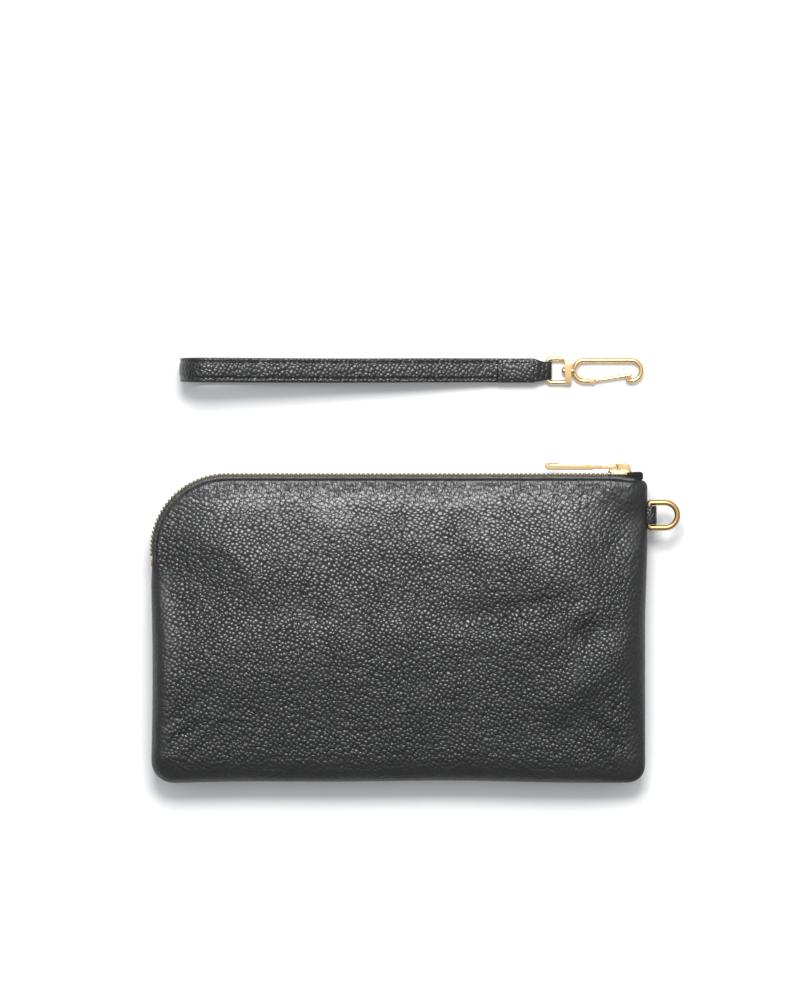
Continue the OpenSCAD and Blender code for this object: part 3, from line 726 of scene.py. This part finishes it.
def teeth(front):
    """One row of teeth: a rounded crown each, and the legs that grip the tape."""
    made = Shape()
    deep = TOOTH_T if front else TOOTH_T - 0.5  # the lower row sits a little further in
    z = ZIP_Z + (1 if front else -1) * (ROW_GAP + TOOTH_L) / 2
    for k in range(TOOTH_COUNT + (1 if front else 0)):
        s = FIRST_TOOTH + k * TOOTH_PITCH + (0 if front else TOOTH_PITCH / 2)
        x, y, heading = zip_at(s, TOOTH_T - deep / 2 - TOOTH_OUT)
        made.add(*rounded_box((TOOTH_W, deep, TOOTH_L), 0.42, (x, y, z), heading))
        x, y, _ = zip_at(s, TOOTH_T - 0.9)
        leg_z = z + (0.25 if front else -0.25)
        made.add(*rounded_box((TOOTH_W * 0.72, 1.5, TOOTH_L + 0.5), 0.3, (x, y, leg_z), heading))
    return made


def stitch(centre, reach, thick, dive, up):
    """A short swell of thread that dives into the leather at both ends, reach away from its centre."""
    t = np.linspace(-1, 1, 7)
    path = np.array(centre) + np.outer(t, reach) - np.outer(dive * t ** 4, [0, 0, 1])
    return wire(path, thick / 2 * (1 - 0.25 * t ** 2), up=up, sides=8)


ZIP_STITCH_L, ZIP_THREAD, ZIP_STITCH_GAP = 2.05, 0.5, 3.0
STITCH_SINK = 0.25  # how far the thread lies below the leather's face


def zip_stitches(front):
    """The row of stitches along the turned edge of one side."""
    crown = front_crown if front else back_crown
    made = Shape()
    for s in np.arange(ZIP_STITCH_GAP, ZIP_LENGTH - ZIP_STITCH_GAP, STITCH_PITCH):
        x, y, heading = zip_at(s, LIP + STITCH_IN - EDGE_OUT)
        z = float(crown(np.array([[x, y]]))[0]) + (-STITCH_SINK if front else STITCH_SINK)
        ahead = np.array([math.cos(math.radians(heading)), math.sin(math.radians(heading)), 0])
        made.add(*stitch((x, y, z), ahead * ZIP_STITCH_L / 2, ZIP_THREAD, 0.22, (-ahead[1], ahead[0], 0)))
    return made


follow_mouth(tape(True).make("front_zip_tape", TAPE, "zip_tape", ["front_tape_end", "flap_tape"]))
tape(False).make("back_zip_tape", TAPE, "zip_tape", ["back_tape"], ride="bag")
follow_mouth(teeth(True).make("front_zip_teeth", TEETH, "zip_teeth", ["front_teeth_end", "flap_teeth"]))
teeth(False).make("back_zip_teeth", TEETH, "zip_teeth", ["back_teeth"], ride="bag")
follow_mouth(zip_stitches(True).make("front_zip_stitches", THREAD, "thread", ["flap_stitching"]))
zip_stitches(False).make("back_zip_stitches", THREAD, "thread", ["back_stitching"], ride="bag")


def flat(x, y, across):
    """Profiles seen from above, pushed through along Z about the zip's middle."""
    return x, y, ZIP_Z + across


# Folded tape end at the closed corner
tab_lo, tab_hi = (np.array(v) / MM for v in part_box("zip_end_tab"))
low, high = tab_lo[1] - 0.1, tab_hi[1] + 0.5
fold = [(tab_lo[0] - 3.6, low), (tab_hi[0] - 1.0, low)]
fold += list(arc((tab_hi[0] - 0.8, low + 0.8), 0.8, -90, 0, 5))
fold += list(arc((tab_hi[0] - 1.5, high - 1.5), 1.5, 0, 90, 8))
fold += [(tab_lo[0], high - 0.1), (tab_lo[0] - 3.6, high - 0.5)]
end_tab = Shape().add(*plate(resample(fold, 0.6, True), (tab_hi[2] - tab_lo[2]) / 2, 0.5, flat))
end_tab.make("zip_tape_end", TAPE, "zip_tape", ["zip_end_tab"], ride="bag")

# Stops
stop_lo, stop_hi = (np.array(v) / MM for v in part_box("top_stops"))
stop_x, stop_y = (stop_lo[0] + stop_hi[0]) / 2, (stop_lo[1] + stop_hi[1]) / 2
stops = Shape()
for side in (-1, 1):
    stop_z = ZIP_Z + side * (ROW_GAP + TOOTH_L) / 2
    stops.add(*rounded_box((stop_hi[0] - stop_lo[0], 3.0, TOOTH_L), 0.45, (stop_x, stop_y, stop_z)))
stops.make("zip_top_stops", SATIN_GOLD, "gold", ["top_stops"], ride="bag")
foot_lo, foot_hi = (np.array(v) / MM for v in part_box("bottom_stop"))
Shape().add(*rounded_box(foot_hi - foot_lo, 0.6, (foot_lo + foot_hi) / 2)).make(
    "zip_bottom_stop", SATIN_GOLD, "gold", ["bottom_stop"], ride="bag")

# Slider: two shaped plates, their lips, the web between them, and the crown that the pull hangs in
SLIDER_X, SLIDER_L, SLIDER_W = 102.5, 11.7, 9.4
PLATE_T = 1.2
OUTER_PLATE_Y = ZIP_Y + 0.3
INNER_PLATE_Y = ZIP_Y - TOOTH_T - 0.3 - PLATE_T


def slider_plan():
    """Outline of a slider plate: narrow and straight where the zip leaves joined, wide at its shoulders."""
    half, x0, x1 = SLIDER_W / 2, SLIDER_X, SLIDER_X + SLIDER_L
    top = np.vstack([arc((x0 + 1.2, half - 1.6), 1.2, 180, 90, 6), [[x0 + 4.5, half - 0.3]],
                     arc((x1 - 1.6, half - 1.6), 1.6, 90, 0, 8)])
    return np.vstack([top, top[::-1] * [1, -1]])


def across_y(y_middle):
    """Profiles seen along Y, drawn about the zip's middle and pushed through along Y."""
    return lambda a, b, across: (a, y_middle + across, ZIP_Z + b)


slider = Shape()
for y in (OUTER_PLATE_Y, INNER_PLATE_Y):
    slider.add(*plate(resample(slider_plan(), 0.7, True), PLATE_T / 2, 0.42, across_y(y + PLATE_T / 2)))
for side in (-1, 1):
    lip_z = ZIP_Z + side * (SLIDER_W / 2 - 0.5)
    for y in (OUTER_PLATE_Y - 0.3, INNER_PLATE_Y + PLATE_T + 0.3):
        lip_at = (SLIDER_X + SLIDER_L / 2 + 0.4, y, lip_z)
        slider.add(*rounded_box((SLIDER_L - 2.2, 1.5, 0.9), 0.3, lip_at))
web_at = (SLIDER_X + SLIDER_L - 3, (OUTER_PLATE_Y + INNER_PLATE_Y + PLATE_T) / 2, ZIP_Z)
slider.add(*rounded_box((4, OUTER_PLATE_Y - INNER_PLATE_Y, 0.4), 0.15, web_at))
slider.make("slider_body", GOLD, "gold", ["zip_slider"], ride="slider")

crown_foot, crown_top = OUTER_PLATE_Y + PLATE_T - 0.1, 81.1
crown_left, crown_right = SLIDER_X + 0.5, SLIDER_X + SLIDER_L - 0.5
dome_t = np.radians(np.linspace(0, 180, 25))
dome = np.stack([(crown_left + crown_right) / 2 + (crown_right - crown_left) / 2 * np.cos(dome_t),
                 crown_foot + (crown_top - crown_foot) * np.sin(dome_t) ** 0.62], 1)
hole_left, hole_right, hole_top, hole_r = crown_left + 1.4, crown_left + 4.1, crown_foot + 2.75, 1.1
hole = np.vstack([
    [[hole_left, crown_foot]], arc((hole_left + hole_r, hole_top - hole_r), hole_r, 180, 90, 6),
    arc((hole_right - hole_r, hole_top - hole_r), hole_r, 90, 0, 6), [[hole_right, crown_foot]],
])
Shape().add(*plate(np.vstack([dome, hole]), 1.7, 0.5, flat)).make(
    "slider_crown", GOLD, "gold", ["slider_bridge"], ride="slider")

# Pull: a slim bar with a fork at its eye and a curled lip at its far end
PULL_X, PULL_Y, PULL_L, PULL_W = 105.7, 78.5, 34.0, 6.4
far = PULL_X - PULL_L
bar_low, bar_top = 77.3, 79.9
lip_low, lip_top = 80.35, 81.2
curl_r = (lip_top - bar_low) / 2
curl = arc((far + curl_r, bar_low + curl_r), curl_r, 270, 90, 16)
neck = [[far + 23, bar_low], [far + 23.6, bar_low + 0.45], [far + 27.6, bar_low + 0.5], [far + 27.6, 79.3],
        [far + 23.6, 79.35], [far + 23, bar_top]]
bar = np.vstack([
    neck, [[far + 9, bar_top + 0.05], [far + 3.4, bar_top]],
    arc((far + 3.0, bar_top + 0.2), 0.2, 270, 90, 5), [[far + 6.4, lip_low]],
    arc((far + 6.4, (lip_low + lip_top) / 2), (lip_top - lip_low) / 2, -60, 90, 5), curl[::-1],
])
pull = Shape().add(*plate(bar, PULL_W / 2, 0.28, flat))
EYE_R, TINE_T, PIN_R = 1.35, 1.1, 0.7
fork = np.vstack([[[far + 27.0, 77.8]], arc((PULL_X, PULL_Y), EYE_R, -145, 145, 22), [[far + 27.0, 79.3]]])
for side in (-1, 1):
    pull.add(*plate(fork, TINE_T / 2, 0.18, flat, middle=side * (PULL_W - TINE_T) / 2))
pin = [(PULL_X, PULL_Y, ZIP_Z + t * (PULL_W / 2 - 0.6)) for t in (-1, -0.3, 0.3, 1)]
pull.add(*wire(pin, PIN_R, up=(1, 0, 0)))
pull.make("zip_pull_bar", GOLD, "gold", ["zip_pull"], sharp=30, ride="pull")

# ------------------------------------ D-ring and its tab
RING_X, RING_Y = HALF_W + 2.2, 55.1
WIRE, RING_W, RING_REACH = 2.8, 15.1, 15.2
bow = RING_W / 2 - WIRE / 2
leg = RING_REACH - WIRE / 2 - bow
turn_r = 1.0
ring = np.vstack([
    arc((RING_X + turn_r, RING_Y + bow - turn_r), turn_r, 180, 90, 8),
    arc((RING_X + leg, RING_Y), bow, 90, -90, 40),
    arc((RING_X + turn_r, RING_Y - bow + turn_r), turn_r, 270, 180, 8),
])
ring = resample(ring, 0.8, True)
Shape().add(*wire(np.column_stack([ring, np.full(len(ring), SEAM_Z)]), WIRE / 2, closed=True, sides=24)).make(
    "ring_wire", SATIN_GOLD, "gold", ["d_ring"], ride="ring")

TAB_W, TAB_T = 9.0, 1.1
outer_r, inner_r = WIRE / 2 + 0.07 + TAB_T, WIRE / 2 + 0.1
tab_root = HALF_W - 2.2
strip = np.vstack([
    [[tab_root, SEAM_Z + TAB_T]], arc((RING_X, SEAM_Z), outer_r, 140, -140, 26),
    [[tab_root, SEAM_Z - TAB_T], [tab_root, SEAM_Z - 0.04]],
    arc((RING_X, SEAM_Z), inner_r, -176, 176, 24), [[tab_root, SEAM_Z + 0.04]],
])
strip[:, 0] += 0.42 * np.maximum(strip[:, 0] - RING_X, 0)  # the tab stands a little slack around the ring


def tab_width(loop):
    return TAB_W / 2 * (1 + 0.05 * ramp(loop[:, 0], RING_X, tab_root))


def along_y(y_middle):
    """Profiles seen from the front, pushed through along Y."""
    return lambda a, b, across: (a, y_middle + across, b)


Shape().add(*plate(strip, tab_width, 0.3, along_y(RING_Y))).make(
    "ring_tab", STRAP_LEATHER, "leather", ["d_ring_tab"], sharp=50, ride="bag")

# ------------------------------------ wrist strap
STRAP_Y, STRAP_W, LAYER_T = 125.9, 11.7, 1.2
STRAP_END, GRIP_START = 67.0, 48.6  # the connector is at its full width between these
LOWER_Z = 2.2  # height of the lower run's middle inside the connector
UPPER_Z = LOWER_Z + 2 * LAYER_T + 0.1
LOOP_R = 12.0
LOOP_C = np.array([-93.7, LOOP_R + LAYER_T])
LEAVE = np.array([GRIP_START - 0.5, UPPER_Z])
reach = LEAVE - LOOP_C
RISE = math.degrees(math.atan2(-reach[1], reach[0]) + math.asin(LOOP_R / np.linalg.norm(reach)))
route = np.vstack([
    [[STRAP_END - 8, UPPER_Z], LEAVE + [3, 0], LEAVE], arc(LOOP_C, LOOP_R, 90 - RISE, 270, 40),
    [[GRIP_START - 22, LAYER_T], [GRIP_START - 2, LOWER_Z], [STRAP_END - 8, LOWER_Z]],
])
route = resample(route, 1.4)
for _ in range(6):
    route[1:-1] = 0.25 * route[:-2] + 0.5 * route[1:-1] + 0.25 * route[2:]
heading = tangents(route)
OUT = np.stack([heading[:, 1], -heading[:, 0]], 1)
upper = ramp(route[:, 1] - np.interp(route[:, 0], [LOOP_C[0] - 12, STRAP_END], [LOOP_C[1], 3.4]), -1, 1)
lift = 0.35 * ripples(route[:, :1] @ [[1.0, 0.0]], 46, 21) * upper * ramp(-route[:, 0], -40, 0)
route = route + OUT * lift[:, None] * 0.6

STITCH_V = STRAP_W / 2 - 1.9
STRAP_THREAD = 0.62


def sway(x):
    """How far the strap strays sideways."""
    return 0.12 * math.sin(x / 23)


def roll(x):
    """How far the strap tips about its length, towards the right of its upper run."""
    return 0.075 * math.exp(-(((x - 12) / 30) ** 2))


def band_top(v):
    """Height of the strap's face above its middle: crowned, with a groove along each edge."""
    edge = np.clip(np.abs(v) / (STRAP_W / 2), 0, 1)
    groove = 0.36 * np.exp(-(((np.abs(v) - STITCH_V) / 0.6) ** 2))
    return LAYER_T - 0.35 * edge ** 6 - groove + 0.22 * (1 - (v / STITCH_V) ** 2) * (np.abs(v) < STITCH_V)


def strap_layer(outward):
    """One layer of the strap: the face where outward is 1, and the lining where it's -1."""
    half = STRAP_W / 2
    v = np.concatenate([[-half, -half + 0.01], np.linspace(-5.7, 5.7, 41), [half - 0.01, half]])
    top = band_top(v)
    top[[0, -1]] = 0.45
    top[[1, -2]] = 0.7
    inner_face = [[half, 0.03 * outward], [-half, 0.03 * outward]]
    section = np.vstack([np.column_stack([v, top * outward]), inner_face])
    rows = []
    for p, n in zip(route, OUT):
        tip = roll(p[0]) * max(0.0, n[1])
        rows.append([(p[0] + n[0] * (h - tip * w), STRAP_Y + w + sway(p[0]), p[1] + n[1] * (h - tip * w))
                     for w, h in section])
    rows = np.array(rows)
    return Shape().add(rows.reshape(-1, 3), tube_faces(rows.shape[0], rows.shape[1]))


strap_layer(1).make("strap_face", STRAP_LEATHER, "leather", ["strap_outer"], sharp=50, ride="strap")
strap_layer(-1).make("strap_lining", STRAP_LEATHER, "leather", ["strap_inner"], sharp=50, ride="strap")

# Stitches along both edges of the upper run
on_top = [i for i in range(len(route)) if LOOP_C[0] - 8 < route[i, 0] < LEAVE[0] - 1 and OUT[i, 1] > 0.72]
sx = route[on_top][::-1, 0]
sz = route[on_top][::-1, 1]
strap_thread = Shape()
for x in np.arange(sx.min() + 1, sx.max(), STITCH_PITCH):
    z = np.interp(x, sx, sz) + band_top(STITCH_V) - 0.02
    slope = (np.interp(x + 1, sx, sz) - np.interp(x - 1, sx, sz)) / 2
    for v in (-STITCH_V, STITCH_V):
        place = (x, STRAP_Y + v + sway(x), z - roll(x) * v)
        strap_thread.add(*stitch(place, (1, 0, slope), STRAP_THREAD, 0.2, (0, 1, 0)))

# Connector: leather folded round the strap's ends and the bail's bar
AXIS_Z, BAIL_X, BAIL_WIRE = 2.6, 73.2, 2.2
CONNECTOR_H = 6.9
wrap_r = BAIL_WIRE / 2 + 1.07
hood = np.vstack([
    [[GRIP_START, 0.05], [STRAP_END, 0.2]], arc((BAIL_X, AXIS_Z), wrap_r, -85, 60, 12),
    [[STRAP_END + 2.6, 6.1], [STRAP_END + 0.6, 6.75]],
    [[GRIP_START + 1, CONNECTOR_H], [GRIP_START, CONNECTOR_H - 0.3]],
])


def hood_width(loop):
    return mix(STRAP_W / 2 + 0.05, 4.35, ramp(loop[:, 0], STRAP_END - 1, BAIL_X - 1.5))


connector = Shape().add(*plate(resample(hood, 0.7, True), hood_width, 0.55, along_y(STRAP_Y)))
connector.make("connector_leather", STRAP_LEATHER, "leather", ["strap_connector"], sharp=50, ride="strap")
for x in (GRIP_START + 2.6, STRAP_END - 0.6):
    z = float(np.interp(x, [GRIP_START, STRAP_END + 0.6], [CONNECTOR_H, 6.78])) + 0.05
    for k in range(5):
        y = STRAP_Y + (k - 2) * 2.05
        strap_thread.add(*stitch((x, y, z), (0, 0.88, 0), 0.66, 0.3, (1, 0, 0)))
for side in (-1, 1):
    for x in np.arange(GRIP_START + 4.6, STRAP_END - 2.2, STITCH_PITCH):
        place = (x, STRAP_Y + side * STITCH_V, CONNECTOR_H)
        strap_thread.add(*stitch(place, (1, 0, 0), STRAP_THREAD, 0.3, (0, 1, 0)))
strap_thread.make("strap_thread", THREAD, "thread", ["strap_stitching"], ride="strap")

# Bail: round bar and arms, and the flat bar that the post turns in
BAIL_W, BAIL_BAR_X, BAIL_BAR_T, BAIL_BAR_H, POST_R = 13.7, 81.7, 3.2, 3.0, 1.05


def at_swivel(plan):
    """Sets a plan of the fittings on the strap's middle line, at the height of the swivel."""
    return np.column_stack([plan[:, 0], STRAP_Y + plan[:, 1], np.full(len(plan), AXIS_Z)])


arm = BAIL_W / 2 - BAIL_WIRE / 2
bend_r = 1.6
legs = np.vstack([
    [[BAIL_BAR_X + 0.8, arm]], arc((BAIL_X + bend_r, arm - bend_r), bend_r, 90, 180, 8),
    arc((BAIL_X + bend_r, -arm + bend_r), bend_r, 180, 270, 8), [[BAIL_BAR_X + 0.8, -arm]],
])
legs = resample(legs, 0.8)
bail = Shape().add(*wire(at_swivel(legs), BAIL_WIRE / 2))
bar_x = (BAIL_BAR_X, BAIL_BAR_X + BAIL_BAR_T)
flat_bar = [(bar_x[i], side * BAIL_BAR_H / 2) for i, side in ((0, -1), (1, -1), (1, 1), (0, 1))]
bail.add(*plate(resample(flat_bar, 0.8, True), BAIL_W / 2, 0.45,
                lambda a, b, across: (a, STRAP_Y + across, AXIS_Z + b)))
bail.make("bail_wire", GOLD, "gold", ["swivel_bail"], ride="bail")

# Post: a rivet with a domed head inside the bail
HOOK_X = BAIL_BAR_X + BAIL_BAR_T + 0.15
head = [(-1.55, 0.05), (-1.5, 0.8), (-1.25, 1.45), (-0.8, 1.8), (-0.3, 1.9), (-0.18, 1.85), (-0.15, POST_R),
        (BAIL_BAR_T + 0.1, POST_R), (BAIL_BAR_T + 0.12, 0.05)]
post = Shape().add(*lathe(head, (BAIL_BAR_X, STRAP_Y, AXIS_Z)))
post.make("post_rivet", GOLD, "gold", ["swivel_post"], ride="hook")

# Hook: one length of wire, from the collar round both bows to the nose
HOOK_R, HOOK_L, HOOK_W = 1.25, 35.4, 12.7
bow_r = HOOK_W / 2 - HOOK_R
bow_left = HOOK_X + 1.2 + bow_r
bow_right = HOOK_X + HOOK_L - HOOK_R - bow_r
GATE_X = bow_left + 4
hook_path = np.vstack([
    [[GATE_X - 1.1, -bow_r]], arc((bow_left, 0), bow_r, 270, 90, 30), arc((bow_right, 0), bow_r, 90, -90, 30),
    [[bow_right - 1.9, -bow_r]],
])
hook_path = resample(hook_path, 0.7)
ahead = np.arange(len(hook_path))[::-1] * 0.7
thick = HOOK_R * (1 - 0.55 * (1 - ramp(ahead, -1.2, 2.6)))
hook = Shape().add(*wire(at_swivel(hook_path), thick))
collar = [(0, 0.05), (0.02, 1.75), (0.25, 2.0), (1.1, 2.0), (1.6, 1.75), (1.95, 1.2), (2.0, 0.05)]
hook.add(*lathe(collar, (HOOK_X, STRAP_Y, AXIS_Z)))
for side in (-1, 1):
    cheek = arc((GATE_X, STRAP_Y - bow_r), 1.3, 0, 360, 25)[:-1]
    cheek = np.where(cheek < [GATE_X, 0], [GATE_X, 0] + (cheek - [GATE_X, 0]) * [1.25, 1], cheek)
    hook.add(*plate(cheek, 0.31, 0.12, lambda a, b, across: (a, b, AXIS_Z + across), middle=side * 0.98))
hook.make("hook_wire", GOLD, "gold", ["snap_hook"], ride="hook")

# Gate: a bar with a rounded head, held between the cheeks by its knuckle
tip = np.array([bow_right - 0.5, -2.3])
base = np.array([GATE_X, -bow_r])
along = unit(tip - base)
span = float(np.linalg.norm(tip - base))
gate_line = np.array([base + along * d for d in np.linspace(2.0, span, 14)])
gate_thick = 0.8 + 0.12 * ramp(np.linspace(2.0, span, 14), span - 5, span - 1)
gate = Shape().add(*wire(at_swivel(gate_line), gate_thick))
knuckle = np.vstack([arc((0, 0), 1.1, 60, 300, 20), [[2.4, -0.5], [2.6, 0.5]]])
spin = math.atan2(along[1], along[0])
turned = knuckle @ np.array([[math.cos(spin), math.sin(spin)], [-math.sin(spin), math.cos(spin)]])
gate.add(*plate(turned + [GATE_X, STRAP_Y - bow_r], 0.36, 0.12, lambda a, b, across: (a, b, AXIS_Z + across)))
gate.make("gate_bar", GOLD, "gold", ["hook_gate"], ride="gate")

# The gate's pin and spring are the CAD's own solids
for name, material in (("gate_pin", GOLD), ("gate_spring", SATIN_GOLD)):
    nodes[name].data.materials.clear()
    nodes[name].data.materials.append(material)

# ------------------------------------ table and light
FLOOR, FLOOR_Z = 3.0, -0.0001  # metres
corners = [(x * FLOOR, y * FLOOR, FLOOR_Z) for x, y in ((-1, -1), (1, -1), (1, 1), (-1, 1))]
floor_mesh = bpy.data.meshes.new("floor")
floor_mesh.from_pydata(corners, [], [(0, 1, 2, 3)])
floor_mesh.materials.append(floor_paint())
floor = add_object("floor", floor_mesh)

# One soft panel above the far side of the bag, which it faces
KEY_ELEVATION, KEY_DISTANCE = math.radians(63.0), 1.7
KEY_POWER, KEY_SIZE = 23, (0.62, 0.5)
key_data = bpy.data.lights.new("key", "AREA")
key_data.shape = "RECTANGLE"
key_data.size, key_data.size_y = KEY_SIZE
key_data.energy = KEY_POWER
key = add_object("key", key_data)
to_key = np.array([0.0, math.cos(KEY_ELEVATION), math.sin(KEY_ELEVATION)])
key.location = to_key * KEY_DISTANCE + np.array(LOOK_AT) * MM
key.rotation_mode = "QUATERNION"
key.rotation_quaternion = Vector(-to_key).to_track_quat("-Z", "Y")

# A wide soft ceiling that is brighter on the side of the key and falls off on the near side. Each part of it
# gives the range of the lean that it covers, then its strength at both ends.
SKY_LEAN, SKY_COLOUR = (0.0, 0.4, 0.9165), (0.97, 0.985, 1.0, 1)
LOW_SKY, HIGH_SKY = (-0.35, 0.6, 0.10, 0.55), (0.6, 0.94, 0.0, 0.57)
world = bpy.data.worlds.new("studio")
bpy.context.scene.world = world
world.use_nodes = True
sky = Tree(world.node_tree)
ray = sky.add("ShaderNodeTexCoord").outputs["Generated"]
lean = sky.add("ShaderNodeVectorMath", {0: ray, 1: SKY_LEAN}, operation="DOT_PRODUCT").outputs["Value"]
parts = [sky.range(lean, *limits, interpolation_type="SMOOTHSTEP") for limits in (LOW_SKY, HIGH_SKY)]
glow = sky.add("ShaderNodeBackground", {"Color": SKY_COLOUR, "Strength": sky.math("ADD", *parts)})
sky.add("ShaderNodeOutputWorld", {"Surface": glow.outputs[0]})
